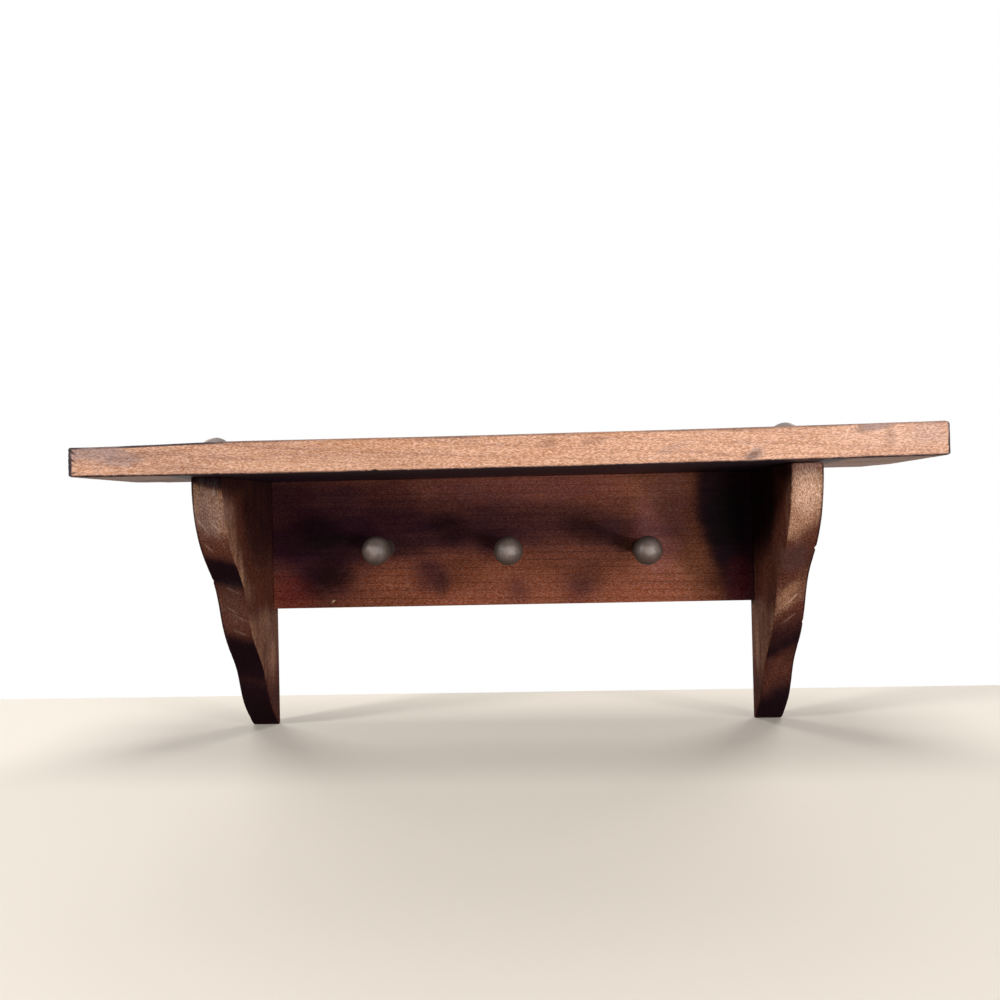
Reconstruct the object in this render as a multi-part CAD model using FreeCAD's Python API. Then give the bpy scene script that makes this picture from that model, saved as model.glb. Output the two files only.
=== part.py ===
import FreeCAD, Part
import math
import os

from FreeCAD import Vector

# A small wall shelf of stained boards: one shelf board on two scrolled brackets, with a back board
# between them that carries three turned pegs. Two domed buttons hide the screws in the shelf board,
# dowels hold the other joints, and two keyhole plates in the brackets' rear edges hang it on a wall.
#
# Millimetres. +X is to the right, +Y goes into the wall and +Z is up. The origin is on the wall
# plane, midway between the centres of the two keyhole plates' round entries.

# Shelf board
shelf_length = 495.3
shelf_depth = 139.7
shelf_thickness = 19.05
shelf_arris = 1.6
shelf_overhang = 61.9

# Brackets
bracket_height = 171.45
bracket_depth = 115.5
bracket_thickness = 19.05
bracket_arris = 1.0
bracket_toe = 3.0

# Outline of a bracket's front edge, from under the shelf board down to the foot: shares of the
# bracket's depth in front of the wall, and of its height above the foot
scroll_shares = [
    (1.0, 1.0),
    (0.99, 0.916),
    (0.938, 0.81),
    (0.818, 0.7),
    (0.706, 0.629),
    (0.635, 0.56),
    (0.589, 0.49),
    (0.498, 0.385),
    (0.401, 0.315),
    (0.317, 0.248),
    (0.265, 0.181),
    (0.195, 0.105),
    (0.115, 0.0525),
]

# Back board: it fills the room between the brackets
back_length = shelf_length - 2 * (shelf_overhang + bracket_thickness)
back_height = 88.9
back_thickness = 12.7
back_arris = 1.0

# Turned pegs: a ball on a hollow-sided neck, a rounded collar at the back board, a tenon in it
ball_diameter = 19.05
ball_reach = 40.0
neck_diameter = 8.4
neck_foot_diameter = 10.4
neck_hollow = 0.6
collar_diameter = 12.7
collar_width = 3.0
peg_tenon_diameter = 9.5
peg_tenon_length = 10.0

# Places of the pegs: across from the middle of the back board, and up from its lower edge
left_peg_offset = -86.6
middle_peg_offset = 0.0
right_peg_offset = 90.2
left_peg_rise = 40.8
middle_peg_rise = 38.9
right_peg_rise = 37.3

# Domed buttons in the counterbores of the shelf screws
button_diameter = 19.05
button_rise = 6.6
button_rim = 0.8
button_tenon_diameter = 12.7
button_tenon_length = 6.0

# Screws through the shelf board into the brackets: behind its front edge, and to the right of
# the middle of the bracket
left_screw_setback = 53.0
right_screw_setback = 50.5
left_screw_drift = -4.0
right_screw_drift = -5.5
counterbore_depth = 9.0
shelf_screw_length = 31.75
shelf_screw_diameter = 4.2
shelf_screw_head_diameter = 8.4
shelf_screw_head_height = 2.6
shelf_screw_thread_length = 21.0
shelf_screw_pitch = 2.1

# Dowels: one from each bracket up into the shelf board, two from each bracket into the back board
dowel_diameter = 6.35
dowel_chamfer = 0.6
shelf_dowel_length = 19.0
shelf_dowel_in_board = 9.0
shelf_dowel_setback = 30.0
back_dowel_length = 25.4
back_dowel_in_bracket = 9.5
upper_back_dowel_drop = 9.0
lower_back_dowel_rise = 15.0

# Keyhole plates let into the brackets' rear edges, and the room behind them for a screw's head
hanger_drop = 38.1
plate_length = 44.5
plate_width = 15.0
plate_thickness = 1.6
plate_rise = 4.0
keyhole_diameter = 9.0
keyhole_slot_width = 4.6
keyhole_slot_rise = 9.5
keyhole_room_depth = 8.5
keyhole_room_margin = 0.3
plate_screw_spacing = 32.0
plate_screw_length = 12.7
plate_screw_diameter = 2.8
plate_screw_head_diameter = 5.4
plate_screw_head_height = 1.4
plate_screw_thread_length = 9.6
plate_screw_pitch = 1.3

# Shares that every screw has: thread depth and point of its diameter, recess of its head
thread_depth_share = 0.15
screw_point_share = 1.2
recess_span_share = 0.62
recess_width_share = 0.14
recess_depth_share = 0.75

# Clearances and overrun
round_clearance = 0.1
end_clearance = 0.5
plate_clearance = 0.15
overrun = 1.0

# Planes and places that follow from the sizes
shelf_under_z = hanger_drop
shelf_top_z = shelf_under_z + shelf_thickness
foot_z = shelf_under_z - bracket_height
back_under_z = shelf_under_z - back_height
back_front_y = -back_thickness
shelf_front_y = -shelf_depth
inner_face_x = back_length / 2
outer_face_x = inner_face_x + bracket_thickness
bracket_middle_x = (inner_face_x + outer_face_x) / 2

RIGHT = Vector(1, 0, 0)
INTO_WALL = Vector(0, 1, 0)
UP = Vector(0, 0, 1)
SIDES = {"left": -1, "right": 1}


def line(start, end):
    return Part.LineSegment(start, end).toShape()


def arc(start, middle, end):
    return Part.Arc(start, middle, end).toShape()


def chain(points):
    return [line(start, end) for start, end in zip(points, points[1:])]


def at(radius, height):
    """A point of a half outline that is spun about +Z."""
    return Vector(radius, 0, height)


def spun(edges):
    return Part.Face(Part.Wire(edges)).revolve(Vector(), UP, 360)


def placed(shape, place, direction):
    """Move a shape made on +Z from the origin, so that it starts at place and runs in direction."""
    moved = shape.copy()
    moved.Placement = FreeCAD.Placement(place, FreeCAD.Rotation(UP, direction))
    return moved


def bore(diameter, place, direction, depth):
    """A round cutter, with its running clearance, that overruns the face it starts from."""
    radius = diameter / 2 + round_clearance
    return Part.makeCylinder(radius, depth + overrun, place - direction * overrun, direction)


def round_ended_block(width, low_z, high_z, middle_x, front_y, depth):
    """A block with round lower and upper ends, centred on low_z and high_z, drawn out along +Y."""
    radius = width / 2
    left, right = middle_x - radius, middle_x + radius

    def point(x, z):
        return Vector(x, front_y, z)

    outline = [
        line(point(left, low_z), point(left, high_z)),
        arc(point(left, high_z), point(middle_x, high_z + radius), point(right, high_z)),
        line(point(right, high_z), point(right, low_z)),
        arc(point(right, low_z), point(middle_x, low_z - radius), point(left, low_z)),
    ]
    return Part.Face(Part.Wire(outline)).extrude(INTO_WALL * depth)


# Screws

def screw(length, diameter, head_diameter, head_height, thread_length, pitch):
    """A flat-headed wood screw with a cross recess: head at the origin, point along +Z."""
    radius = diameter / 2
    root = radius - diameter * thread_depth_share
    point_start = length - diameter * screw_point_share
    turns = math.floor((thread_length - (length - point_start)) / pitch)
    thread_start = point_start - turns * pitch
    outline = [at(0, 0), at(head_diameter / 2, 0), at(radius, head_height), at(radius, thread_start)]
    for turn in range(turns):
        outline.append(at(root, thread_start + (turn + 1 / 2) * pitch))
        outline.append(at(radius, thread_start + (turn + 1) * pitch))
    outline += [at(0, length), at(0, 0)]
    span = head_diameter * recess_span_share
    width = head_diameter * recess_width_share
    depth = head_height * recess_depth_share
    across = Part.makeBox(span, width, depth + overrun, Vector(-span / 2, -width / 2, -overrun))
    along = Part.makeBox(width, span, depth + overrun, Vector(-width / 2, -span / 2, -overrun))
    return spun(chain(outline)).cut([across, along])


def screw_bore(length, diameter, head_diameter, head_height):
    """The hole for such a screw, with its countersink: mouth at the origin, depth along +Z."""
    hole = bore(diameter, Vector(), UP, length + end_clearance)
    mouth = head_diameter / 2 + round_clearance
    neck = diameter / 2 + round_clearance
    return hole.fuse(Part.makeCone(mouth, neck, head_height, Vector(), UP))


def shelf_screw_place(side):
    setback = {"left": left_screw_setback, "right": right_screw_setback}[side]
    drift = {"left": left_screw_drift, "right": right_screw_drift}[side]
    x = SIDES[side] * bracket_middle_x + drift
    return Vector(x, shelf_front_y + setback, shelf_top_z - counterbore_depth)


def shelf_screw_bore(side):
    hole = screw_bore(shelf_screw_length, shelf_screw_diameter,
                      shelf_screw_head_diameter, shelf_screw_head_height)
    return placed(hole, shelf_screw_place(side), -UP)


def shelf_screw(side):
    solid = screw(shelf_screw_length, shelf_screw_diameter, shelf_screw_head_diameter,
                  shelf_screw_head_height, shelf_screw_thread_length, shelf_screw_pitch)
    return placed(solid, shelf_screw_place(side), -UP)


def plate_screw_place(side, level):
    z = plate_rise + level * plate_screw_spacing / 2
    return Vector(SIDES[side] * bracket_middle_x, 0, z)


def plate_screw_bore(side, level):
    hole = screw_bore(plate_screw_length, plate_screw_diameter,
                      plate_screw_head_diameter, plate_screw_head_height)
    return placed(hole, plate_screw_place(side, level), -INTO_WALL)


def plate_screw(side, level):
    solid = screw(plate_screw_length, plate_screw_diameter, plate_screw_head_diameter,
                  plate_screw_head_height, plate_screw_thread_length, plate_screw_pitch)
    return placed(solid, plate_screw_place(side, level), -INTO_WALL)


# Dowels

def dowel(length, start, direction):
    radius = dowel_diameter / 2
    outline = [
        at(0, 0),
        at(radius - dowel_chamfer, 0),
        at(radius, dowel_chamfer),
        at(radius, length - dowel_chamfer),
        at(radius - dowel_chamfer, length),
        at(0, length),
        at(0, 0),
    ]
    return placed(spun(chain(outline)), start, direction)


def dowel_bore(length, start, direction):
    """The two facing holes for a dowel, as one cutter."""
    radius = dowel_diameter / 2 + round_clearance
    return Part.makeCylinder(radius, length + 2 * end_clearance,
                             start - direction * end_clearance, direction)


def shelf_dowel_start(side):
    z = shelf_under_z + shelf_dowel_in_board - shelf_dowel_length
    return Vector(SIDES[side] * bracket_middle_x, -shelf_dowel_setback, z)


def back_dowel_start(side, level):
    z = {
        "upper": shelf_under_z - upper_back_dowel_drop,
        "lower": back_under_z + lower_back_dowel_rise,
    }[level]
    x = SIDES[side] * (inner_face_x + back_dowel_in_bracket)
    return Vector(x, -back_thickness / 2, z)


def back_dowel_direction(side):
    return -RIGHT * SIDES[side]


# Keyhole plates

def plate_blank(side, clearance):
    """The plate's outer shape, or with clearance the pocket that it is let into."""
    half_run = (plate_length - plate_width) / 2
    return round_ended_block(plate_width + 2 * clearance, plate_rise - half_run,
                             plate_rise + half_run, SIDES[side] * bracket_middle_x,
                             -plate_thickness, plate_thickness)


def keyhole_plate(side):
    x = SIDES[side] * bracket_middle_x
    entry = Part.makeCylinder(keyhole_diameter / 2, plate_thickness + 2 * overrun,
                              Vector(x, -plate_thickness - overrun, 0), INTO_WALL)
    slot = round_ended_block(keyhole_slot_width, 0, keyhole_slot_rise, x,
                             -plate_thickness - overrun, plate_thickness + 2 * overrun)
    holes = [plate_screw_bore(side, level) for level in (-1, 1)]
    return plate_blank(side, 0).cut([entry, slot] + holes)


def keyhole_room(side):
    """The room behind the plate, in which the head of the wall's screw slides up."""
    width = keyhole_diameter + 2 * keyhole_room_margin
    return round_ended_block(width, 0, keyhole_slot_rise, SIDES[side] * bracket_middle_x,
                             -plate_thickness - keyhole_room_depth, keyhole_room_depth + overrun)


# Boards

def shelf_board():
    blank = Part.makeBox(shelf_length, shelf_depth, shelf_thickness,
                         Vector(-shelf_length / 2, shelf_front_y, shelf_under_z))
    blank = blank.makeFillet(shelf_arris, blank.Edges)
    cutters = []
    for side in SIDES:
        mouth = shelf_screw_place(side) + UP * counterbore_depth
        cutters.append(bore(button_tenon_diameter, mouth, -UP, counterbore_depth))
        cutters.append(shelf_screw_bore(side))
        cutters.append(dowel_bore(shelf_dowel_length, shelf_dowel_start(side), UP))
    return blank.cut(cutters)


def scroll_curve():
    """The bracket's front edge in the plane X = 0, from under the shelf board to the toe."""
    points = [Vector(0, -bracket_depth * depth_share, foot_z + bracket_height * height_share)
              for depth_share, height_share in scroll_shares]
    points.append(Vector(0, -bracket_toe, foot_z))
    curve = Part.BSplineCurve()
    curve.interpolate(points)
    return curve


def bracket(side):
    scroll = scroll_curve()
    toe, heel = Vector(0, -bracket_toe, foot_z), Vector(0, 0, foot_z)
    rear_top, front_top = Vector(0, 0, shelf_under_z), Vector(0, -bracket_depth, shelf_under_z)
    outline = [scroll.toShape(), line(toe, heel), line(heel, rear_top), line(rear_top, front_top)]
    face = Part.Face(Part.Wire(outline))
    near_x = min(SIDES[side] * inner_face_x, SIDES[side] * outer_face_x)
    face.translate(RIGHT * near_x)
    blank = face.extrude(RIGHT * bracket_thickness)
    scroll_edges = [edge for edge in blank.Edges if isinstance(edge.Curve, Part.BSplineCurve)]
    blank = blank.makeFillet(bracket_arris, scroll_edges)
    cutters = [
        shelf_screw_bore(side),
        dowel_bore(shelf_dowel_length, shelf_dowel_start(side), UP),
        plate_blank(side, plate_clearance),
        keyhole_room(side),
    ]
    for level in ("upper", "lower"):
        start = back_dowel_start(side, level)
        cutters.append(dowel_bore(back_dowel_length, start, back_dowel_direction(side)))
    for level in (-1, 1):
        cutters.append(plate_screw_bore(side, level))
    return blank.cut(cutters)


def back_board():
    blank = Part.makeBox(back_length, back_thickness, back_height,
                         Vector(-inner_face_x, back_front_y, back_under_z))
    lower_edges = [edge for edge in blank.Edges
                   if edge.BoundBox.ZMax < back_under_z + back_arris
                   and edge.BoundBox.XLength > back_thickness]
    blank = blank.makeFillet(back_arris, lower_edges)
    cutters = []
    for side in SIDES:
        for level in ("upper", "lower"):
            start = back_dowel_start(side, level)
            cutters.append(dowel_bore(back_dowel_length, start, back_dowel_direction(side)))
    for place in peg_places.values():
        cutters.append(bore(peg_tenon_diameter, place, INTO_WALL, peg_tenon_length + end_clearance))
    return blank.cut(cutters)


# Pegs

def peg_place(offset, rise):
    return Vector(offset, back_front_y, back_under_z + rise)


peg_places = {
    "left_peg": peg_place(left_peg_offset, left_peg_rise),
    "middle_peg": peg_place(middle_peg_offset, middle_peg_rise),
    "right_peg": peg_place(right_peg_offset, right_peg_rise),
}


def peg(place):
    ball, neck, foot = ball_diameter / 2, neck_diameter / 2, neck_foot_diameter / 2
    collar, tenon = collar_diameter / 2, peg_tenon_diameter / 2
    neck_end = ball_reach - math.sqrt(ball ** 2 - neck ** 2)
    round_start = collar_width / 2
    round_middle = at(foot + (collar - foot) * math.cos(math.pi / 4),
                      round_start + round_start * math.sin(math.pi / 4))
    neck_middle = at((foot + neck) / 2 - neck_hollow, (collar_width + neck_end) / 2)
    tenon_end, shoulder = -peg_tenon_length, 0
    edges = chain([at(0, tenon_end), at(tenon, tenon_end), at(tenon, shoulder),
                   at(collar, shoulder), at(collar, round_start)])
    edges.append(arc(at(collar, round_start), round_middle, at(foot, collar_width)))
    edges.append(arc(at(foot, collar_width), neck_middle, at(neck, neck_end)))
    edges.append(arc(at(neck, neck_end), at(ball, ball_reach), at(0, ball_reach + ball)))
    edges.append(line(at(0, ball_reach + ball), at(0, tenon_end)))
    return placed(spun(edges), place, -INTO_WALL)


# Buttons

def button(side):
    head, tenon = button_diameter / 2, button_tenon_diameter / 2
    dome_rise = button_rise - button_rim
    dome_radius = (head ** 2 + dome_rise ** 2) / (2 * dome_rise)
    half_angle = math.asin(head / dome_radius) / 2
    dome_centre = button_rise - dome_radius
    dome_middle = at(dome_radius * math.sin(half_angle),
                     dome_centre + dome_radius * math.cos(half_angle))
    edges = chain([at(0, -button_tenon_length), at(tenon, -button_tenon_length), at(tenon, 0),
                   at(head, 0), at(head, button_rim)])
    edges.append(arc(at(head, button_rim), dome_middle, at(0, button_rise)))
    edges.append(line(at(0, button_rise), at(0, -button_tenon_length)))
    place = shelf_screw_place(side) + UP * counterbore_depth
    return placed(spun(edges), place, UP)


# The whole shelf

def all_pieces():
    pieces = {"shelf_board": shelf_board(), "back_board": back_board()}
    for name, place in peg_places.items():
        pieces[name] = peg(place)
    for side in SIDES:
        pieces[side + "_bracket"] = bracket(side)
        pieces[side + "_button"] = button(side)
        pieces[side + "_shelf_screw"] = shelf_screw(side)
        pieces[side + "_shelf_dowel"] = dowel(shelf_dowel_length, shelf_dowel_start(side), UP)
        for level in ("upper", "lower"):
            start = back_dowel_start(side, level)
            pieces[side + "_" + level + "_back_dowel"] = dowel(
                back_dowel_length, start, back_dowel_direction(side))
        pieces[side + "_keyhole_plate"] = keyhole_plate(side)
        pieces[side + "_lower_plate_screw"] = plate_screw(side, -1)
        pieces[side + "_upper_plate_screw"] = plate_screw(side, 1)
    return pieces


os.makedirs("parts", exist_ok=True)
for name, shape in sorted(all_pieces().items()):
    shape.exportStep("parts/" + name + ".step")
    print(name, len(shape.Solids), "solid,", round(shape.Volume), "mm3, valid", shape.isValid())
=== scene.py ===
from math import cos, exp, pi, radians, sin

import bmesh
import bpy
from mathutils import Matrix, Vector, noise


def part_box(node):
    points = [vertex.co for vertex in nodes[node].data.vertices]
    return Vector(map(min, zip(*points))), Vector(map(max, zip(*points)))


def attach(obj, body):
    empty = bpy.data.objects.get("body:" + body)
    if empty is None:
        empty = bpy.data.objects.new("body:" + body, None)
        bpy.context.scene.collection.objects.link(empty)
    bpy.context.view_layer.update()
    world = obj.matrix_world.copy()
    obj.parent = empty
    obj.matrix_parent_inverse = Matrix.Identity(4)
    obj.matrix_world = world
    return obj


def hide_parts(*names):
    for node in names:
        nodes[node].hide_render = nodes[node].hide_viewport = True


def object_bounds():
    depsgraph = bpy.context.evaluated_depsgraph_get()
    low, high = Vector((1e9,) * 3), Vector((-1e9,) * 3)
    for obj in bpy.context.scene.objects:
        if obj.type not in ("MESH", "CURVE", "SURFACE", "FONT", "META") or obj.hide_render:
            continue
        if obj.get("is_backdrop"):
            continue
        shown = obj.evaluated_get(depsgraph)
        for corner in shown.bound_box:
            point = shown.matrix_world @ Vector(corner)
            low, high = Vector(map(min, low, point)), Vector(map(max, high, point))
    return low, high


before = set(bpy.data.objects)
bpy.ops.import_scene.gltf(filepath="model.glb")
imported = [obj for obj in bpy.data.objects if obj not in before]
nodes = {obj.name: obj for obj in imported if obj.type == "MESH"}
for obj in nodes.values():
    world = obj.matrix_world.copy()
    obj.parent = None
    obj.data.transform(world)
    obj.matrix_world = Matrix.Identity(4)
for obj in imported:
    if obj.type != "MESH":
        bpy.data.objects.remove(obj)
cad_low, cad_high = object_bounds()
MM = 0.001


# ---------------------------------------------------------------- shelf board
# The board on top: flat-sawn softwood, 3/4 inch thick, square ends, arrises eased by hand, stained
# red-brown. Its front edge is rubbed back to pale wood, it has bowed a little with age, and it rests
# on the two brackets, where it is screwed and dowelled.

shelf_low, shelf_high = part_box("shelf_board")
shelf_half = (shelf_high - shelf_low) / 2

shelf_arris = 1.3 * MM
shelf_grid = (2.2 * MM, 2.6 * MM, 0.7 * MM)
stain_dark = (0.034, 0.008, 0.005)
stain_light = (0.150, 0.045, 0.026)
# the dark of old dirt, which on the brackets also serves as the colour of painted shade
old_grime_and_shade = (0.012, 0.0035, 0.0055)
front_dark = (0.30, 0.135, 0.090)
front_light = (0.76, 0.415, 0.262)


def grid_lines(low, high, step):
    """Where the mesh is cut along one side: close together over the eased arrises, then even."""
    close = [share * MM for share in (0, 0.15, 0.35, 0.6, 0.9, 1.3, 1.8, 2.5, 3.5, 5.0)]
    room = high - low - 2 * close[-1]
    count = max(1, round(room / step))
    even = [low + close[-1] + room * i / count for i in range(1, count)]
    return [low + c for c in close] + even + [high - c for c in reversed(close)]


def gridded_block(low, high, steps):
    """A closed block with a fine grid on all six faces, as lists of points and faces."""
    lines = [grid_lines(low[a], high[a], steps[a]) for a in range(3)]
    last = [len(line) - 1 for line in lines]
    number = {}
    points = []
    faces = []
    for axis in range(3):
        across, up = (axis + 1) % 3, (axis + 2) % 3
        for end in (0, last[axis]):
            for p in range(last[across]):
                for q in range(last[up]):
                    ring = [(p, q), (p + 1, q), (p + 1, q + 1), (p, q + 1)]
                    if end == 0:
                        ring.reverse()
                    face = []
                    for a, b in ring:
                        key = [0, 0, 0]
                        key[axis], key[across], key[up] = end, a, b
                        key = tuple(key)
                        if key not in number:
                            number[key] = len(points)
                            points.append(Vector([lines[i][key[i]] for i in range(3)]))
                        face.append(number[key])
                    faces.append(face)
    return points, faces


def eased(point, low, high, arris):
    """Rounds a block's arrises: a point near an arris moves on to a quarter round of that radius."""
    core = Vector([min(max(point[i], low[i] + arris), high[i] - arris) for i in range(3)])
    out = point - core
    return core + out.normalized() * arris if out.length > 0 else point


def fade(value, start, end):
    """0 at start, 1 at end, with a soft run between them."""
    share = min(max((value - start) / (end - start), 0), 1)
    return share * share * (3 - 2 * share)


def add_node(tree, kind, values=None, **settings):
    """One node with its settings and its inputs: a number sets an input and a socket is linked to it."""
    made = tree.nodes.new(kind)
    for name, setting in settings.items():
        setattr(made, name, setting)
    for name, value in (values or {}).items():
        if isinstance(value, bpy.types.NodeSocket):
            tree.links.new(value, made.inputs[name])
        else:
            made.inputs[name].default_value = value
    return made


def worn_corner(spot, low, high, end, radius):
    """Rounds the outer corner of a piece over, seen from the front: end is 1 for the upper corner and
    -1 for the lower one."""
    outer = max(-low.x, high.x) - radius
    turn = (high.z if end > 0 else low.z) - end * radius
    over = Vector((abs(spot.x) - outer, 0, end * (spot.z - turn)))
    if min(over.x, over.z) > 0 and over.length > radius:
        excess = over.normalized() * (over.length - radius)
        spot.x -= excess.x if spot.x > 0 else -excess.x
        spot.z -= end * excess.z


# One Geometry Nodes tree gives every wooden piece the slight unevenness of hand-planed, handled
# wood: the surface follows a noise that is drawn out along the grain.
wear_tree = bpy.data.node_groups.new("hand_wear", "GeometryNodeTree")
for label, kind in (
    ("Geometry", "NodeSocketGeometry"),
    ("Grain", "NodeSocketVector"),
    ("Depth", "NodeSocketFloat"),
    ("Fineness", "NodeSocketFloat"),
    ("Seed", "NodeSocketFloat"),
    ("Finish", "NodeSocketMaterial"),
):
    wear_tree.interface.new_socket(label, in_out="INPUT", socket_type=kind)
wear_tree.interface.new_socket("Geometry", in_out="OUTPUT", socket_type="NodeSocketGeometry")
wear_in = wear_tree.nodes.new("NodeGroupInput").outputs
drawn_out = add_node(
    wear_tree,
    "ShaderNodeVectorMath",
    {0: wear_tree.nodes.new("GeometryNodeInputPosition").outputs[0], 1: wear_in["Grain"]},
    operation="MULTIPLY",
)
uneven = add_node(
    wear_tree,
    "ShaderNodeTexNoise",
    {"Vector": drawn_out.outputs[0], "W": wear_in["Seed"], "Scale": wear_in["Fineness"], "Detail": 4.0},
    noise_dimensions="4D",
)
centred = add_node(
    wear_tree, "ShaderNodeMath", {0: uneven.outputs[0], 1: 0.5}, operation="SUBTRACT"
)
deep = add_node(
    wear_tree, "ShaderNodeMath", {0: centred.outputs[0], 1: wear_in["Depth"]}, operation="MULTIPLY"
)
outwards = add_node(
    wear_tree,
    "ShaderNodeVectorMath",
    {0: wear_tree.nodes.new("GeometryNodeInputNormal").outputs[0], "Scale": deep.outputs[0]},
    operation="SCALE",
)
moved = add_node(
    wear_tree, "GeometryNodeSetPosition", {"Geometry": wear_in["Geometry"], "Offset": outwards.outputs[0]}
)
whole = add_node(wear_tree, "GeometryNodeRealizeInstances", {0: moved.outputs[0]})
painted = add_node(
    wear_tree, "GeometryNodeSetMaterial", {"Geometry": whole.outputs[0], "Material": wear_in["Finish"]}
)
wear_tree.links.new(painted.outputs[0], wear_tree.nodes.new("NodeGroupOutput").inputs[0])


def worn_piece(name, blank, grain, depth, fineness, seed, finish):
    """Runs a blank piece through the wear tree and gives back the plain mesh that comes out."""
    wear = blank.modifiers.new("hand wear", "NODES")
    wear.node_group = wear_tree
    values = {"Grain": grain, "Depth": depth, "Fineness": fineness, "Seed": seed, "Finish": finish}
    for item in wear_tree.interface.items_tree:
        if item.in_out == "INPUT" and item.name in values:
            wear[item.identifier] = values[item.name]
    seen = blank.evaluated_get(bpy.context.evaluated_depsgraph_get())
    mesh = bpy.data.meshes.new_from_object(seen)
    mesh.name = name
    for polygon in mesh.polygons:
        polygon.use_smooth = True
    bpy.data.objects.remove(blank)
    piece = bpy.data.objects.new(name, mesh)
    bpy.context.scene.collection.objects.link(piece)
    return piece


def blank_from(points, faces):
    """An object in the scene made of bare points and faces."""
    mesh = bpy.data.meshes.new("blank")
    mesh.from_pydata(points, [], faces)
    mesh.update()
    blank = bpy.data.objects.new("blank", mesh)
    bpy.context.scene.collection.objects.link(blank)
    return blank


def paint_wear_and_shading(piece, how_much):
    """Writes, each 0 to 1, how far each point is worn back to bare wood and made paler with painted light,
    and how much old dirt and painted shade darken it, as the attributes 'rubbed' and 'grimed'."""
    wear_and_light = piece.data.attributes.new("wear_and_light", "FLOAT", "POINT").name
    grime_and_shade = piece.data.attributes.new("grime_and_shade", "FLOAT", "POINT").name
    values = [how_much(vertex.co, vertex.normal) for vertex in piece.data.vertices]
    piece.data.attributes[wear_and_light].data.foreach_set("value", [v[0] for v in values])
    piece.data.attributes[grime_and_shade].data.foreach_set("value", [v[1] for v in values])


def mix(tree, share, first, second):
    """Mixes two colours by a share from 0 to 1."""
    made = add_node(tree, "ShaderNodeMix", data_type="RGBA")
    for socket, value in ((made.inputs[0], share), (made.inputs[6], first), (made.inputs[7], second)):
        if isinstance(value, bpy.types.NodeSocket):
            tree.links.new(value, socket)
        elif isinstance(value, tuple):
            socket.default_value = (*value, 1)
        else:
            socket.default_value = value
    return made.outputs[2]


def curve(tree, value, low, high, start=0.0, end=1.0):
    """Stretches a value so that low to high becomes start to end."""
    return add_node(
        tree,
        "ShaderNodeMapRange",
        {"Value": value, "From Min": low, "From Max": high, "To Min": start, "To Max": end},
        interpolation_type="SMOOTHSTEP",
    ).outputs[0]


def times(tree, first, second):
    """The product of two values."""
    return add_node(
        tree, "ShaderNodeMath", {0: first, 1: second}, operation="MULTIPLY"
    ).outputs[0]


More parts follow.
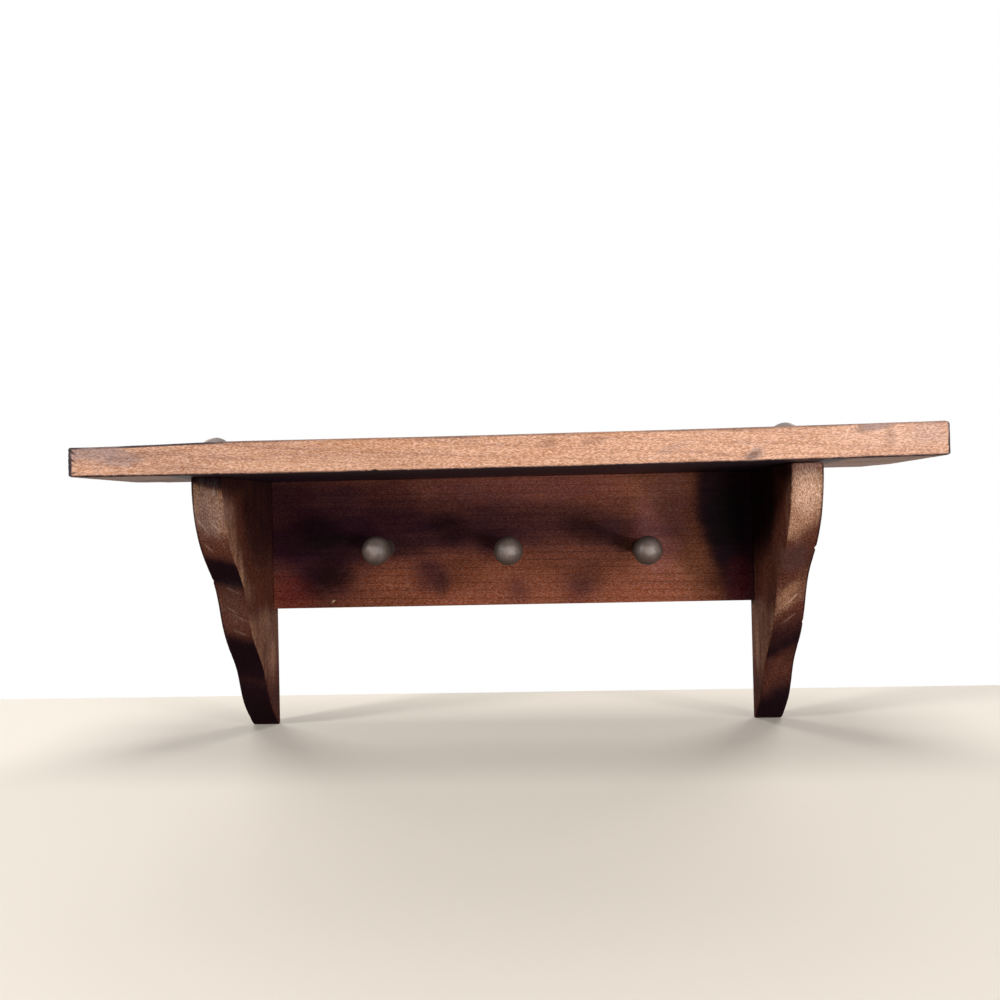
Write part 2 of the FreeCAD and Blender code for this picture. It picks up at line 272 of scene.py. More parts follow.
def stained_wood(name, grain, pith, dark, light, bare_dark, bare_light, marks=(), seed=0.0, shine=0.3,
                 wander=1.2, rough=(0.42, 0.60), line=0.72, shares=(0.20, 0.18, 0.14, 0.34, 0.14),
                 grime_and_shade_colour=old_grime_and_shade, speckle=0.26):
    """Stained softwood: growth rings round a pith line, streaks along the grain, pores, blotchy stain, paler
    bare wood where the piece is worn and where painted light is asked for, and a dark tone where there is
    old dirt and where painted shade is asked for. Marks are soft patches of another colour, painted shadows
    among them, and a fine speckle over it all is duller where it is light and redder where it is dark."""
    finish = bpy.data.materials.new(name)
    finish.use_nodes = True
    tree = finish.node_tree
    shader = tree.nodes["Principled BSDF"]
    place = tree.nodes.new("ShaderNodeTexCoord").outputs["Object"]

    def noise_along(stretch, fineness, detail=3.0):
        """A noise that is drawn out along the grain; 1 is not drawn out at all."""
        scale = tuple(1 - axis * (1 - stretch) for axis in grain)
        drawn = add_node(
            tree,
            "ShaderNodeMapping",
            {"Vector": place, "Location": (seed, seed * 0.37, 0), "Scale": scale},
        )
        values = {"Vector": drawn.outputs[0], "Scale": fineness, "Detail": detail}
        return add_node(tree, "ShaderNodeTexNoise", values).outputs[0]

    # growth rings: circles round the pith line, which runs along the grain outside the board
    turn, offset, spacing = pith
    ring_place = add_node(
        tree, "ShaderNodeMapping", {"Vector": place, "Location": offset, "Rotation": turn}
    )
    rings = add_node(
        tree,
        "ShaderNodeTexWave",
        {
            "Vector": ring_place.outputs[0],
            "Scale": 0.314 / spacing,
            "Distortion": wander,
            "Detail": 3.0,
            "Detail Scale": 0.25,
            "Detail Roughness": 0.55,
        },
        wave_type="RINGS",
        rings_direction="XYZ"[grain.index(1)],
        wave_profile="SAW",
    ).outputs[1]
    late_wood = curve(tree, rings, line, 1.0)
    broad = curve(tree, noise_along(0.12, 60, 4.0), 0.34, 0.68)
    streaks = curve(tree, noise_along(0.035, 900, 3.0), 0.36, 0.66)
    flecks = curve(tree, noise_along(0.22, 2500, 3.0), 0.38, 0.64)
    grit = curve(tree, noise_along(0.7, 1300, 2.0), 0.40, 0.62)
    pores = curve(tree, noise_along(0.12, 2200, 2.0), 0.54, 0.68)
    blotches = curve(tree, noise_along(0.4, 18, 4.0), 0.34, 0.68)
    depth = times(tree, late_wood, shares[0])
    for part, share in zip((broad, streaks, flecks, grit), shares[1:]):
        depth = add_node(
            tree, "ShaderNodeMath", {0: depth, 1: times(tree, part, share)}, operation="ADD"
        ).outputs[0]
    stained = mix(tree, depth, light, dark)
    stained = mix(tree, times(tree, blotches, 0.35), stained, dark)
    bare = mix(tree, depth, bare_light, bare_dark)
    wear_and_light = add_node(tree, "ShaderNodeAttribute", attribute_name="wear_and_light").outputs["Fac"]
    uneven_wear_and_light = add_node(
        tree,
        "ShaderNodeMath",
        {0: wear_and_light, 1: times(tree, curve(tree, noise_along(0.25, 90), 0.3, 0.7), 0.22)},
        operation="SUBTRACT",
    ).outputs[0]
    colour = mix(tree, curve(tree, uneven_wear_and_light, 0.04, 0.72), stained, bare)
    colour = mix(tree, times(tree, pores, 0.35), colour, tuple(c * 0.45 for c in bare_dark))
    grime_and_shade = add_node(tree, "ShaderNodeAttribute", attribute_name="grime_and_shade").outputs["Fac"]
    uneven_grime_and_shade = add_node(
        tree,
        "ShaderNodeMath",
        {0: grime_and_shade, 1: times(tree, curve(tree, noise_along(0.3, 120), 0.3, 0.7), 0.12)},
        operation="SUBTRACT",
    ).outputs[0]
    colour = mix(tree, curve(tree, uneven_grime_and_shade, 0.0, 0.8), colour, grime_and_shade_colour)

    for centre, size, lean, strength, tone in marks:
        spot = add_node(
            tree,
            "ShaderNodeMapping",
            {
                "Vector": place,
                "Location": tuple(c * MM for c in centre),
                "Rotation": (0, radians(lean), 0),
                "Scale": tuple(s * MM for s in size),
            },
            vector_type="TEXTURE",
        )
        ball = add_node(
            tree, "ShaderNodeTexGradient", {"Vector": spot.outputs[0]}, gradient_type="SPHERICAL"
        ).outputs[1]
        ragged = curve(tree, noise_along(0.35, 330, 4.0), 0.25, 0.75, 0.45, 1.0)
        soft = curve(tree, times(tree, ball, ragged), 0.05, 0.5)
        colour = mix(tree, times(tree, soft, strength), colour, tone)

    fine = noise_along(0.28, 2300, 2.0)
    speckled = add_node(
        tree,
        "ShaderNodeHueSaturation",
        {
            "Color": colour,
            "Value": curve(tree, fine, 0.32, 0.68, 1 - speckle, 1 + speckle),
            "Saturation": curve(tree, fine, 0.32, 0.68, 1 + 0.6 * speckle, 1 - 0.6 * speckle),
        },
    ).outputs[0]
    tree.links.new(speckled, shader.inputs["Base Color"])
    tree.links.new(curve(tree, depth, 0.1, 0.9, *rough), shader.inputs["Roughness"])
    shader.inputs["Specular IOR Level"].default_value = shine
    relief = add_node(
        tree,
        "ShaderNodeBump",
        {"Strength": 0.35, "Distance": 0.25 * MM, "Height": mix(tree, 0.6, depth, streaks)},
    )
    tree.links.new(relief.outputs[0], shader.inputs["Normal"])
    return finish


smoke_grey = (0.330, 0.215, 0.190)
dirt_brown = (0.245, 0.110, 0.070)
soot_brown = (0.155, 0.085, 0.062)
crack_black = (0.045, 0.022, 0.020)
warm_brown = (0.560, 0.270, 0.140)
rubbed_pale = (0.950, 0.560, 0.350)
rubbed_pink = (0.900, 0.580, 0.430)
knot_grey = (0.260, 0.165, 0.145)
front_y = shelf_low.y / MM

# broad changes of tone on the front edge, its smudges and a small knot, then the cracks and the
# dirty line at the ends; each has its centre and half sizes in millimetres, its lean in degrees,
# its strength and its tone
shelf_marks = [
    ((-75, front_y, 53), (50, 3, 7), 0, 0.40, warm_brown),
    ((-120, front_y, 42), (70, 3, 6), 0, 0.22, rubbed_pale),
    ((22, front_y, 46), (34, 3, 8), -6, 0.35, warm_brown),
    ((60, front_y, 57), (30, 3, 6), 0, 0.35, warm_brown),
    ((215, front_y, 52), (50, 3, 12), 0, 0.25, rubbed_pink),
    ((-233, front_y, 52), (30, 3, 7), 2, 0.75, smoke_grey),
    ((-216, front_y, 48), (18, 3, 6), -4, 0.70, smoke_grey),
    ((-205, front_y, 50), (34, 3, 3), -6, 0.40, dirt_brown),
    ((26, front_y, 51), (9, 3, 4), -8, 0.45, dirt_brown),
    ((52, front_y, 52), (12, 3, 3), -8, 0.40, dirt_brown),
    ((94, front_y, 46), (16, 3, 3), -20, 0.30, smoke_grey),
    ((126, front_y, 42.0), (16, 3, 0.9), 8, 0.50, dirt_brown),
    ((140, front_y, 42), (9, 3, 5), -25, 0.60, knot_grey),
    ((140, front_y, 41.5), (4, 3, 3), -30, 0.60, soot_brown),
    ((201, front_y, 55), (8, 3, 4), -10, 0.55, soot_brown),
    ((208, front_y, 55.8), (12, 3, 3), -4, 0.80, smoke_grey),
    ((215, front_y, 50), (5, 3, 9), 0, 0.40, dirt_brown),
    ((236, front_y, 52), (16, 3, 10), 0, 0.30, smoke_grey),
    ((-246, front_y, 53.4), (5, 3, 1.2), 35, 1.0, crack_black),
    ((-247, front_y, 49.0), (6, 3, 1.0), 24, 1.0, crack_black),
    ((-243, front_y, 55.2), (9, 3, 1.2), -4, 1.0, crack_black),
    ((-247, front_y, 45.6), (4, 3, 1.0), 10, 1.0, crack_black),
    ((-246, front_y, 40.4), (5, 3, 1.0), -16, 1.0, crack_black),
    ((-248.1, front_y, 50), (3.4, 3, 16), 0, 1.0, old_grime_and_shade),
    ((-248.0, front_y, 42), (2.8, 3, 16), 0, 1.0, old_grime_and_shade),
    ((248.0, front_y, 48), (2.2, 3, 26), 0, 1.0, old_grime_and_shade),
]
shelf_wood = stained_wood(
    "rubbed red-brown stained softwood",
    grain=(1, 0, 0),
    pith=((0.0, 0.012, 0.035), (0.0, 0.060, -0.085), 2.8 * MM),
    dark=stain_dark,
    light=stain_light,
    bare_dark=front_dark,
    bare_light=front_light,
    marks=shelf_marks,
    shares=(0.24, 0.22, 0.16, 0.30, 0.12),
    # the dark of dirt on the arrises and ends, and of the painted shade below the board between the brackets
    grime_and_shade_colour=(0.017, 0.0065, 0.0150),
)


def worn_slope(x, y):
    """How far the front left corner of the top is worn down, in a long shallow slope."""
    return 2.0 * MM * fade(-x, 142 * MM, 248 * MM) * fade(-y, 100 * MM, 139.7 * MM)


def shelf_bow(x, y):
    """How far the aged board stands off its true plane at a place: it sags in the middle of the
    front edge, and the two free ends cup up at the wall."""
    along = x / shelf_half.x
    front = -y / (2 * shelf_half.y)
    bow = (-0.45 + 1.2 * along * along + 0.35 * along) * front
    wall = fade(y, -60 * MM, 0)
    left_cup = 1.8 * fade(-x, 176 * MM, 214 * MM) * wall
    right_cup = 1.2 * fade(x, 176 * MM, 222 * MM) * wall
    return (bow + left_cup + right_cup) * MM


shelf_points, shelf_faces = gridded_block(shelf_low, shelf_high, shelf_grid)
left_end_knocks = [(54.2, 0.5), (50.6, 0.3), (46.4, 0.2), (41.2, 0.3)]
front_dents = [(-162.0, 0.8), (-71.0, 1.0), (-55.0, 0.8), (118.0, 0.5)]
shaped = []
for point in shelf_points:
    x, y, z = point
    wobble = noise.noise(Vector((x * 60, y * 60, z * 60)))
    # the arris is eased less at the ragged left end
    arris = shelf_arris * (1.0 + 0.5 * wobble) * (1 - 0.5 * fade(-x, 240 * MM, 246 * MM))
    spot = eased(point, shelf_low, shelf_high, arris)
    # both ends' corners are worn round, the right end's upper one most
    upper, under = (3.2 * MM, 2.4 * MM) if x > 0 else (2.0 * MM, 2.4 * MM)
    worn_corner(spot, shelf_low, shelf_high, 1, upper)
    worn_corner(spot, shelf_low, shelf_high, -1, under)
    over = fade(z, shelf_low.z, shelf_high.z)
    spot.z -= worn_slope(x, y) * over
    # knocks in the ragged left end, near its front corner
    for height, depth in left_end_knocks:
        near = exp(-(((z / MM - height) / 0.5) ** 2)) * fade(-x, 244 * MM, 247.6 * MM)
        spot.x += depth * MM * near * fade(-y, 120 * MM, 138 * MM)
    # dents in the lower front arris
    for middle, depth in front_dents:
        near = exp(-(((x / MM - middle) / 1.6) ** 2)) * fade(-z, -41 * MM, -38.4 * MM)
        spot.z += depth * MM * near * fade(-y, 136 * MM, 139.5 * MM)
        spot.y += 0.6 * depth * MM * near * fade(-y, 136 * MM, 139.5 * MM)
    spot.z += shelf_bow(x, y)
    shaped.append(spot)

shelf = worn_piece(
    "shelf_board_worn",
    blank_from(shaped, shelf_faces),
    grain=(0.08, 1.0, 1.0),
    depth=0.35 * MM,
    fineness=160.0,
    seed=3.0,
    finish=shelf_wood,
)


def shelf_wear_and_shading(place, normal):
    """The front edge is worn all over, the other arrises only where hands and dusters reach, and the board's
    free ends beyond the brackets are made paler below with a painted reflection of the table. Dirt sits in
    the ragged left end and along the arrises, and painted shade darkens the board below, between the
    brackets."""
    front = fade(-normal.y, 0.35, 0.85) * fade(-place.y, 134 * MM, 138 * MM)
    flat = place - Vector((0, 0, shelf_bow(place.x, place.y)))
    top = shelf_high.z - worn_slope(place.x, place.y)
    near = [min(flat[i] - shelf_low[i], shelf_high[i] - flat[i]) for i in range(3)]
    arris = 1 - fade(sorted(near)[1], 0.3 * MM, 1.6 * MM)
    broken = fade(noise.noise(place * 420), -0.2, 0.3)
    ends = [flat.x - shelf_low.x, shelf_high.x - flat.x, flat.z - shelf_low.z, top - flat.z]
    left_end = (0.8 + 0.2 * broken) * (1 - fade(ends[0], 1.3 * MM, 3.0 * MM))
    right_end = (0.6 + 0.4 * broken) * (1 - fade(ends[1], 0.9 * MM, 2.2 * MM))
    lower = (0.60 + 0.2 * broken) * (1 - fade(ends[2], 0.4 * MM, 1.6 * MM))
    upper = (0.45 + 0.35 * fade(-place.x, 120 * MM, 200 * MM)) * (1 - fade(ends[3], 0.9 * MM, 2.0 * MM))
    under = fade(-normal.z, 0.5, 0.9)
    # painted shade below the board between the brackets, and a painted reflection of the table below its
    # free ends
    between = 0.95 * under * (1 - fade(abs(place.x), 176 * MM, 190 * MM))
    wing_reflection = 0.62 * under * fade(abs(place.x), 186 * MM, 200 * MM)
    at_front = fade(-place.y, 136 * MM, 138 * MM)
    dirt_and_shade = max(at_front * max(left_end, right_end, lower, upper), between)
    return max(front, 0.55 * arris, wing_reflection), dirt_and_shade


paint_wear_and_shading(shelf, shelf_wear_and_shading)
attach(shelf, "root")
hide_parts("shelf_board")


# ---------------------------------------------------------------- brackets
# Two side brackets of the same stock, scroll-sawn to three lobes that end in a narrow foot, with the grain
# upright. Their sawn edges are worn pale and painted light on the lobes, and carry painted shade in the
# hollows, under the board and at the foot; their sides, the inner faces most, carry painted light along the
# scroll and low down, and painted shade towards the back, under the board and at the foot.

bracket_voxel = 0.8 * MM
scroll_dark = (0.100, 0.038, 0.022)
scroll_light = (0.520, 0.270, 0.160)
dull_grey = (0.150, 0.115, 0.105)
pale_tan = (0.620, 0.370, 0.250)
scuff_pale = (0.480, 0.330, 0.270)
golden = (0.450, 0.215, 0.110)
shade_under_board_red = (0.240, 0.105, 0.105)
hollow_shade_brown = (0.125, 0.072, 0.070)
scratch_dark = (0.150, 0.065, 0.035)

# worn patches, painted shade under the board at the top of the right bracket's edge and in a hollow below
# it, and fine scratches that run aslant over the sawn edges
bracket_marks = [
    ((-176, -118, 18), (15, 50, 26), 0, 0.40, dull_grey),
    ((-176, -75, -45), (15, 40, 26), 0, 0.10, dull_grey),
    ((176, -124, 24), (13, 50, 24), 0, 0.75, pale_tan),
    ((176, -130, 37), (14, 50, 7), 0, 0.60, shade_under_board_red),
    ((174, -95, -19), (14, 50, 15), 0, 0.26, hollow_shade_brown),
    ((-181, -128, 9), (1.2, 40, 9), -30, 0.50, scuff_pale),
    ((-173, -126, 8), (1.0, 40, 8), -35, 0.40, scuff_pale),
    ((-180, -122, -5), (1.1, 40, 5), -35, 0.45, scuff_pale),
    ((-172, -128, 29), (1.5, 40, 4), 0, 0.45, scuff_pale),
    ((-174, -85, -33), (1.0, 50, 8), -60, 0.12, scuff_pale),
    ((-177, -80, -46), (0.9, 50, 6), -52, 0.17, scuff_pale),
    ((-173, -77, -51), (0.9, 50, 9), -58, 0.13, scuff_pale),
    ((-175, -73, -61), (1.2, 50, 7), -64, 0.15, scuff_pale),
    ((175, -85, -40), (5.0, 50, 13), 45, 0.30, golden),
    ((177, -85, -45), (1.1, 50, 9), 45, 0.34, pale_tan),
    ((172, -85, -41), (0.9, 50, 9), 45, 0.40, scratch_dark),
    ((176, -75, -58), (0.9, 50, 8), 48, 0.22, scuff_pale),
]
bracket_wood = stained_wood(
    "scroll-sawn stained softwood",
    grain=(0, 0, 1),
    pith=((0.02, 0.05, 0.0), (0.190, 0.060, 0.0), 4.6 * MM),
    dark=stain_dark,
    light=stain_light,
    bare_dark=scroll_dark,
    bare_light=scroll_light,
    marks=bracket_marks,
    seed=7.0,
    shine=0.04,
    rough=(0.66, 0.82),
    line=0.84,
    shares=(0.12, 0.20, 0.16, 0.28, 0.26),
    speckle=0.36,
)


def bracket_blank(node):
    """A closed, evenly meshed copy of a bracket's solid, with its plate's recess and its bores."""
    mesh = nodes[node].data.copy()
    joined = bmesh.new()
    joined.from_mesh(mesh)
    bmesh.ops.remove_doubles(joined, verts=joined.verts, dist=0.001 * MM)
    joined.to_mesh(mesh)
    joined.free()
    blank = bpy.data.objects.new("blank", mesh)
    bpy.context.scene.collection.objects.link(blank)
    even = blank.modifiers.new("even mesh", "REMESH")
    even.mode = "VOXEL"
    even.voxel_size = bracket_voxel
    return blank


# how pale and how dark the scrolled edge is at heights in millimetres, from the top down: worn pale and
# painted light on the lobes, painted shade under the board, in the hollows and at the foot
left_edge_wear_and_shading = (
    (37, 0.0, 1.0), (34, 0.1, 0.7), (30, 0.65, 0.0), (12, 0.50, 0.0), (0, 0.30, 0.0), (-8, 0.14, 0.1),
    (-15, 0.0, 0.8), (-26, 0.0, 0.95), (-32, 0.05, 0.3), (-42, 0.20, 0.0), (-53, 0.19, 0.0),
    (-62, 0.1, 0.3), (-72, 0.0, 1.0), (-88, 0.0, 1.0), (-97, 0.0, 0.65), (-108, 0.0, 1.0), (-130, 0.0, 1.0),
)
right_edge_wear_and_shading = (
    (42, 0.5, 0.2), (34, 0.7, 0.0), (24, 1.0, 0.0), (12, 1.0, 0.0), (2, 0.7, 0.0), (-6, 0.25, 0.0),
    (-13, 0.05, 0.3), (-25, 0.05, 0.25), (-30, 0.25, 0.0), (-38, 0.40, 0.0), (-48, 0.48, 0.0),
    (-56, 0.1, 0.30), (-66, 0.0, 0.6), (-78, 0.0, 0.75), (-86, 0.05, 0.35), (-99, 0.03, 0.3),
    (-110, 0.0, 0.6), (-121, 0.0, 1.0), (-135, 0.0, 1.0),
)
# for each side: the seed, the lean of the pale and dark bands, their list, how much painted light the inner
# face gets along the scroll, how much painted shade darkens its top rear corner, the chips, and the corners
# worn round
for side, seed, lean, heights, inner_light_level, shade, chips, worn_corners in (
    ("left", 11.0, 0.25, left_edge_wear_and_shading, 0.50, 0.58, [(-26.0, 0.5), (-98.0, 0.5)], [(-1, 2.6)]),
    ("right", 17.0, -0.60, right_edge_wear_and_shading, 0.24, 0.74, [(-12.0, 0.9), (-60.0, 0.4)], [(-1, 2.6), (1, 2.4)]),
):
    node = side + "_bracket"
    low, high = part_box(node)
    bracket = worn_piece(
        node + "_worn",
        bracket_blank(node),
        grain=(1.0, 1.0, 0.1),
        depth=0.30 * MM,
        fineness=150.0,
        seed=seed,
        finish=bracket_wood,
    )

    # small chips in the outer front arris
    for vertex in bracket.data.vertices:
        spot = vertex.co
        for height, depth in chips:
            near = exp(-(((spot.z / MM - height) / 0.9) ** 2)) * fade(abs(spot.x) / MM, 183.8, 185.6)
            spot.x *= 1 - depth * MM * near * fade(-spot.y, 40 * MM, 50 * MM) / abs(spot.x)
        for end, radius in worn_corners:
            worn_corner(spot, low, high, end, radius * MM)
    front_line = {}
    for vertex in bracket.data.vertices:
        row = round(vertex.co.z / (3 * MM))
        front_line[row] = min(front_line.get(row, 0), vertex.co.y)

    def bracket_wear_and_shading(place, normal):
        """The sawn front edge follows its list of heights, of wear, painted light and painted shade. On the
        sides, painted light runs along the scroll near the front and low down, and painted shade darkens the
        top rear corner, the part towards the back, the top under the board and the foot; the outer faces get
        less of both."""
        edge = fade(1 - abs(normal.x), 0.2, 0.6) * fade(-place.y, 2 * MM, 6 * MM)
        off_middle = (place.x - (low.x + high.x) / 2) / MM
        z = min(max(place.z / MM + lean * off_middle, heights[-1][0]), heights[0][0])
        for above, below in zip(heights, heights[1:]):
            if below[0] <= z <= above[0]:
                share = (z - below[0]) / (above[0] - below[0])
                wear_and_light, grime_and_shade = [b + (a - b) * share for a, b in zip(above[1:], below[1:])]
                break
        outline = 0.85 * fade(abs(place.x) / MM, 183.7, 185.2)
        z = place.z / MM
        inward = place.y - front_line[round(place.z / (3 * MM))]
        # painted light along the scroll near the front, and low down on the side
        lit_along_scroll = inner_light_level * (1 - fade(inward, 4 * MM, 34 * MM)) * (1 - fade(z, 18, 34)) * fade(z, -60, -30)
        low_bounce_light = 0.42 * (1 - fade(z, -58, -36)) * fade(z, -114, -84)
        # painted shade: the top rear corner, the part towards the back, the top under the board and the foot
        # are darker
        corner = shade * fade(inward, 14 * MM, 50 * MM) * fade(z, -44, 0)
        rear = 0.22 * fade(inward, 14 * MM, 44 * MM)
        top = 0.60 * fade(z, 20, 35)
        foot = 0.45 * (1 - fade(z, -112, -90))
        dark = max(corner, rear, top, foot)
        # the outer faces get less of the painted light and shade
        if normal.x * place.x > 0:
            lit_along_scroll, low_bounce_light, dark = 0.4 * lit_along_scroll, 0.3 * low_bounce_light, 0.3 * dark
        side = 1 - edge
        return edge * wear_and_light + side * max(lit_along_scroll, low_bounce_light), edge * max(grime_and_shade, outline) + side * dark

    paint_wear_and_shading(bracket, bracket_wear_and_shading)
    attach(bracket, "root")
    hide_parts(node)


# ---------------------------------------------------------------- back board
# The rail behind the pegs: a planed 1/2 inch board, dowelled between the brackets under the shelf
# board. Its face kept the dark red stain, and its lower arris has a small nick.

back_low, back_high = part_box("back_board")
# two faint reddish patches of painted light, two deep red lower corners, painted shadows in near black and
# deep maroon, cast by the left and right brackets and by the balls, and the nick in the lower arris
back_marks = [
    ((10, -12.7, 30), (120, 4, 16), 0, 0.14, (0.280, 0.090, 0.130)),
    ((106, -12.7, 8), (26, 4, 56), 8, 0.27, (0.330, 0.110, 0.150)),
    ((-154, -12.7, -42), (28, 4, 22), 0, 0.42, (0.170, 0.018, 0.012)),
    ((156, -12.7, -36), (14, 4, 24), 0, 0.60, (0.110, 0.010, 0.012)),
    ((-129, -12.7, -5), (30, 4, 9), 0, 0.80, (0.008, 0.003, 0.004)),
    ((-131, -12.7, -30), (26, 4, 20), -25, 0.60, (0.014, 0.002, 0.002)),
    ((-152, -12.7, -3), (24, 4, 16), 0, 0.50, (0.014, 0.002, 0.003)),
    ((-48, -12.7, -36), (9, 4, 13), 0, 0.50, (0.022, 0.004, 0.005)),
    ((150, -12.7, 6), (22, 4, 38), 0, 0.80, (0.004, 0.003, 0.003)),
    ((-104, -12.7, -10), (78, 4, 10), 0, 0.48, (0.010, 0.001, 0.002)),
    ((-120, -12.7, -31), (20, 4, 13), 0, 0.45, (0.012, 0.001, 0.001)),
    ((-80, -12.7, 20), (26, 4, 32), 0, 0.38, (0.030, 0.003, 0.008)),
    ((-150, -12.7, 18), (22, 4, 34), 0, 0.35, (0.024, 0.003, 0.007)),
    ((76, -12.7, -11), (11, 4, 7), 0, 0.50, (0.014, 0.002, 0.003)),
    ((-124.2, -12.7, -46.3), (2.0, 4, 1.0), -35, 0.8, (0.60, 0.42, 0.26)),
]
back_wood = stained_wood(
    "dark red stained softwood",
    grain=(1, 0, 0),
    pith=((0.0, -0.006, 0.02), (0.0, 0.045, 0.130), 5.0 * MM),
    dark=stain_dark,
    light=(0.350, 0.100, 0.048),
    bare_dark=(0.150, 0.045, 0.024),
    bare_light=(0.640, 0.220, 0.110),
    seed=23.0,
    marks=back_marks,
    # the dark purple here is the colour of the painted shade on the face
    grime_and_shade_colour=(0.024, 0.004, 0.012),
    shine=0.10,
    rough=(0.55, 0.75),
    wander=0.5,
    line=0.88,
    shares=(0.46, 0.16, 0.12, 0.28, 0.16),
)
back_points, back_faces = gridded_block(back_low, back_high, (2.4 * MM, 2.4 * MM, 1.8 * MM))
shaped = [eased(point, back_low, back_high, 0.8 * MM) for point in back_points]
back = worn_piece(
    "back_board_worn",
    blank_from(shaped, back_faces),
    grain=(0.08, 1.0, 1.0),
    depth=0.25 * MM,
    fineness=150.0,
    seed=29.0,
    finish=back_wood,
)


# painted shade on the face where the brackets, the board above and the balls cast shadows: across, up, half
# width, half height (mm), how much
painted_shade_clouds = (
    (-165, 30, 105, 34, 0.72), (-150, -1, 72, 18, 0.80), (-138, -24, 34, 26, 0.94), (-90, 4, 80, 14, 0.75),
    (-145, -7, 42, 12, 0.80), (-20, 17, 120, 9, 0.35), (-74, -7, 14, 13, 0.60), (-36, -4, 14, 10, 0.50),
    (-30, 1, 70, 14, 0.56), (40, 0, 62, 14, 0.54), (-15, -9, 12, 9, 0.60), (68, -4, 14, 12, 0.60),
    (-54, -28, 15, 16, 0.62), (47, -38, 16, 14, 0.42), (4, -42, 10, 12, 0.35),
)
# painted light on the face where it is lit, in the same columns
painted_light_clouds = (
    (96, 30, 30, 12, 0.60), (98, 15, 15, 16, 0.45), (120, 5, 18, 50, 0.34),
    (130, -28, 16, 26, 0.46), (98, -26, 26, 14, 0.34),
    (-5, 27, 34, 9, 0.16), (60, -26, 30, 14, 0.12),
)


def cloudiness(place, clouds):
    """How much of a cloud of any kind covers a place, 0 to 1."""
    clear = 1.0
    for across, up, width, height, strength in clouds:
        far = ((place.x / MM - across) / width) ** 2 + ((place.z / MM - up) / height) ** 2
        clear *= 1 - strength * exp(-far * 1.2)
    return 1 - clear


def back_wear_and_shading(place, normal):
    """A little wear along the lower arris and, on the front face, clouds of painted shade and painted light
    and the painted shadow of the right bracket over the right end, whose edge runs aslant from the top down
    to the corner."""
    z = place.z / MM
    lower = 0.35 * (1 - fade(place.z - back_low.z, 0.3 * MM, 1.4 * MM))
    # the painted shadow of the right bracket over the right end
    edge_x = 132 + 18 * fade(-z, -18, 52)
    right_end_shadow = fade(place.x / MM, edge_x - 9, edge_x + 4) * (0.72 + 0.28 * fade(z, -44, -16))
    dark = 1 - (1 - cloudiness(place, painted_shade_clouds)) * (1 - right_end_shadow)
    face = fade(-normal.y, 0.1, 0.7)
    return max(lower, face * cloudiness(place, painted_light_clouds)), face * 0.8 * dark ** 0.6


paint_wear_and_shading(back, back_wear_and_shading)
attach(back, "root")
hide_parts("back_board")


# ---------------------------------------------------------------- pegs and buttons
# Three turned pegs with ball ends and two domed buttons, of hard close-grained wood. The stain took
# as a dull taupe on them, and handling gave it a soft shine.

turned_wood = bpy.data.materials.new("taupe stained turned hardwood")
turned_wood.use_nodes = True
tree = turned_wood.node_tree
shader = tree.nodes["Principled BSDF"]
place = tree.nodes.new("ShaderNodeTexCoord").outputs["Object"]
speckle = add_node(tree, "ShaderNodeTexNoise", {"Vector": place, "Scale": 1500.0, "Detail": 3.0})
cloud = add_node(tree, "ShaderNodeTexNoise", {"Vector": place, "Scale": 160.0, "Detail": 2.0})
dull_taupe = (0.150, 0.112, 0.098)
pale_taupe = (0.230, 0.174, 0.152)
taupe = mix(tree, curve(tree, cloud.outputs[0], 0.35, 0.65), dull_taupe, pale_taupe)
specks = curve(tree, speckle.outputs[0], 0.45, 0.65, 0.0, 0.6)
taupe = mix(tree, specks, taupe, (0.07, 0.045, 0.038))

# each ball has painted shade towards its rim and on its underside, and a painted highlight at its tip
ball_low, ball_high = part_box("middle_peg")
ball_tip = ball_low.y
ball_middle = (ball_low.z + ball_high.z) / 2
along = add_node(tree, "ShaderNodeSeparateXYZ", {0: place}).outputs
depth_in = along["Y"]
rim_shade = curve(tree, depth_in, ball_tip - 1 * MM, ball_tip + 7 * MM, 0.0, 0.9)
taupe = mix(tree, rim_shade, taupe, (0.050, 0.032, 0.026))
tip_highlight = curve(tree, depth_in, ball_tip + 0.9 * MM, ball_tip, 0.0, 0.45)
taupe = mix(tree, tip_highlight, taupe, (0.380, 0.310, 0.270))
underside_shade = curve(tree, along["Z"], ball_middle - 1 * MM, ball_low.z, 0.0, 0.7)
taupe = mix(tree, underside_shade, taupe, (0.075, 0.036, 0.026))
# in the corner by the board the shanks are painted black with shade, and dull
in_corner = times(tree, curve(tree, depth_in, -0.036, -0.028), curve(tree, depth_in, -0.005, -0.012))
taupe = mix(tree, times(tree, in_corner, 0.85), taupe, (0.030, 0.016, 0.014))
tree.links.new(taupe, shader.inputs["Base Color"])
shader.inputs["Specular IOR Level"].default_value = 0.42
tree.links.new(curve(tree, in_corner, 0.0, 0.6, 0.44, 0.95), shader.inputs["Roughness"])
for name in ("left_peg", "middle_peg", "right_peg", "left_button", "right_button"):
    nodes[name].data.materials[0] = turned_wood


# ---------------------------------------------------------------- dowels, screws and hangers
# Birch dowels and steel screws sit inside the joints. Two zinc-plated steel keyhole plates are let
# into the brackets' rear edges with two small screws each; only these show, from behind.

dowel_wood = bpy.data.materials.new("plain birch dowel")
dowel_wood.use_nodes = True
tree = dowel_wood.node_tree
place = tree.nodes.new("ShaderNodeTexCoord").outputs["Object"]
fibre = add_node(tree, "ShaderNodeTexNoise", {"Vector": place, "Scale": 400.0})
birch = mix(tree, fibre.outputs[0], (0.62, 0.45, 0.28), (0.75, 0.58, 0.38))
tree.links.new(birch, tree.nodes["Principled BSDF"].inputs["Base Color"])

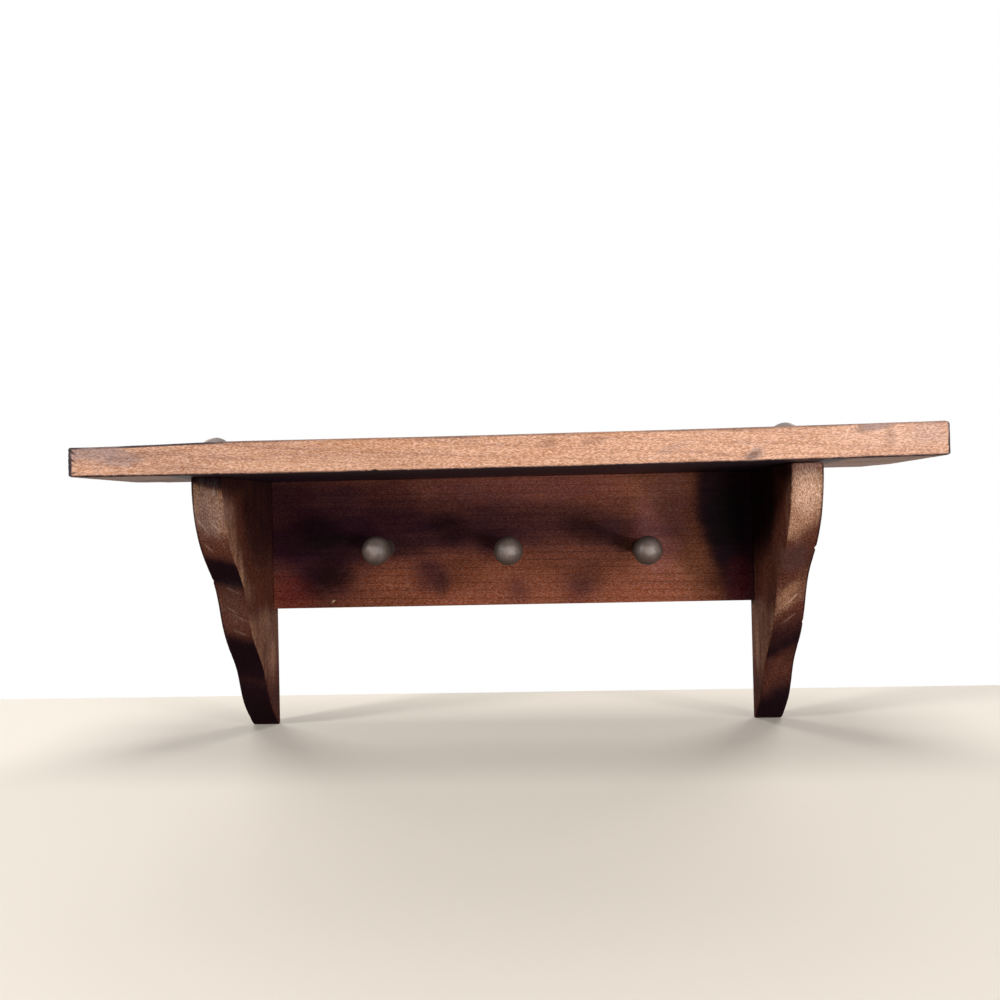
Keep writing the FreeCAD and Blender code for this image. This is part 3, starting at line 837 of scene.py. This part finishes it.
hanger_steel = bpy.data.materials.new("dull zinc-plated steel")
hanger_steel.use_nodes = True
tree = hanger_steel.node_tree
shader = tree.nodes["Principled BSDF"]
place = tree.nodes.new("ShaderNodeTexCoord").outputs["Object"]
tarnish = add_node(tree, "ShaderNodeTexNoise", {"Vector": place, "Scale": 220.0, "Detail": 4.0})
zinc = mix(tree, curve(tree, tarnish.outputs[0], 0.4, 0.7), (0.52, 0.51, 0.49), (0.30, 0.29, 0.27))
tree.links.new(zinc, shader.inputs["Base Color"])
tree.links.new(curve(tree, tarnish.outputs[0], 0.3, 0.7, 0.32, 0.5), shader.inputs["Roughness"])
shader.inputs["Metallic"].default_value = 1.0

for name, node in nodes.items():
    if "dowel" in name:
        node.data.materials[0] = dowel_wood
    elif "screw" in name or "plate" in name:
        node.data.materials[0] = hanger_steel


# ---------------------------------------------------------------- floor, light and camera
# A plain pale table top that ends behind the shelf, white beyond it, soft lamps at both sides of the
# camera, and the camera a little under the board and left of square, as the photograph was taken.

foot_z = cad_low.z
floor_edge = 0.105
floor_colour = (0.93, 0.85, 0.74)
floor_bounce = (0.24, 0.21, 0.17)
floor = blank_from(
    [(-3, -3, foot_z), (3, -3, foot_z), (3, floor_edge, foot_z), (-3, floor_edge, foot_z)], [(0, 1, 2, 3)]
)
floor.name = "floor"
pale = bpy.data.materials.new("pale table top")
pale.use_nodes = True
tree = pale.node_tree
to_camera = tree.nodes.new("ShaderNodeLightPath").outputs["Is Camera Ray"]
table_top = mix(tree, to_camera, floor_bounce, floor_colour)
tree.links.new(table_top, tree.nodes["Principled BSDF"].inputs["Base Color"])
tree.nodes["Principled BSDF"].inputs["Roughness"].default_value = 0.7
floor.data.materials.append(pale)
floor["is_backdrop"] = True


def soft_lamp(name, bearing, height, distance, size, level):
    """A square soft light that looks at the shelf. Bearing and height are degrees to the right of
    the camera's side and above the shelf; at level 1 alone, a colour that faces it renders as written."""
    lamp = bpy.data.objects.new(name, bpy.data.lights.new(name, "AREA"))
    lamp.data.size = size
    lamp.data.energy = level * (pi * distance) ** 2
    aim = Vector((0, -0.05, -0.02))
    b, h = radians(bearing), radians(height)
    away = Vector((sin(b) * cos(h), -cos(b) * cos(h), sin(h)))
    turn = away.to_track_quat("Z", "Y").to_matrix().to_4x4()
    lamp.matrix_world = Matrix.Translation(aim + away * distance) @ turn
    lamp.visible_camera = False
    bpy.context.scene.collection.objects.link(lamp)


soft_lamp("front_left", -52, 19, 2.0, 0.34, 0.50)
soft_lamp("front_right", 40, 16, 2.0, 0.34, 0.26)
soft_lamp("front", 18, 25, 2.0, 0.36, 0.06)
# two low lamps stand for the pale table's bounce; the floor itself neither shows nor stops them
past_floor = bpy.data.collections.new("all but the floor")
past_floor.objects.link(floor)
past_floor.collection_objects[0].light_linking.link_state = "EXCLUDE"
for name, bearing, height, distance, size, level in (
    ("low_front", 17, -8, 1.6, 0.24, 0.13),
    ("low_right", 47, -13, 1.20, 0.16, 0.40),
):
    soft_lamp(name, bearing, height, distance, size, level)
    bpy.data.objects[name].light_linking.receiver_collection = past_floor
    bpy.data.objects[name].light_linking.blocker_collection = past_floor
soft_lamp("overhead", 0, 80, 2.0, 1.00, 0.40)
soft_lamp("behind_left", -140, 30, 2.0, 0.80, 0.28)
soft_lamp("behind_right", 140, 30, 2.0, 0.80, 0.28)

world = bpy.data.worlds.new("white room")
bpy.context.scene.world = world
world.use_nodes = True
sky = world.node_tree
ray = sky.nodes.new("ShaderNodeLightPath").outputs
seen = add_node(
    sky, "ShaderNodeMath", {0: ray["Is Camera Ray"], 1: ray["Is Transmission Ray"]}, operation="MAXIMUM"
).outputs[0]
sky.nodes["Background"].inputs["Color"].default_value = (1, 1, 1, 1)
seen = add_node(
    sky, "ShaderNodeMath", {0: seen, 1: times(sky, ray["Is Glossy Ray"], 0.55)}, operation="MAXIMUM"
).outputs[0]
ambient = add_node(sky, "ShaderNodeMath", {0: seen, 1: 0.05}, operation="MAXIMUM").outputs[0]
sky.links.new(ambient, sky.nodes["Background"].inputs["Strength"])
bpy.context.scene.view_settings.view_transform = "Standard"

camera = bpy.data.objects.new("camera", bpy.data.cameras.new("camera"))
camera.data.lens = 34.2
camera.data.sensor_width = 36.0
camera.matrix_world = (
    Matrix.Translation((0.021214, -0.671072, 0.012495))
    @ Matrix.Rotation(radians(1.303), 4, "Y")
    @ Matrix.Rotation(radians(0.754), 4, "X")
    @ Matrix.Rotation(radians(2.418), 4, "Z")
    @ Matrix.Rotation(pi / 2, 4, "X")
)
bpy.context.scene.collection.objects.link(camera)
bpy.context.scene.camera = camera

low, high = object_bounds()
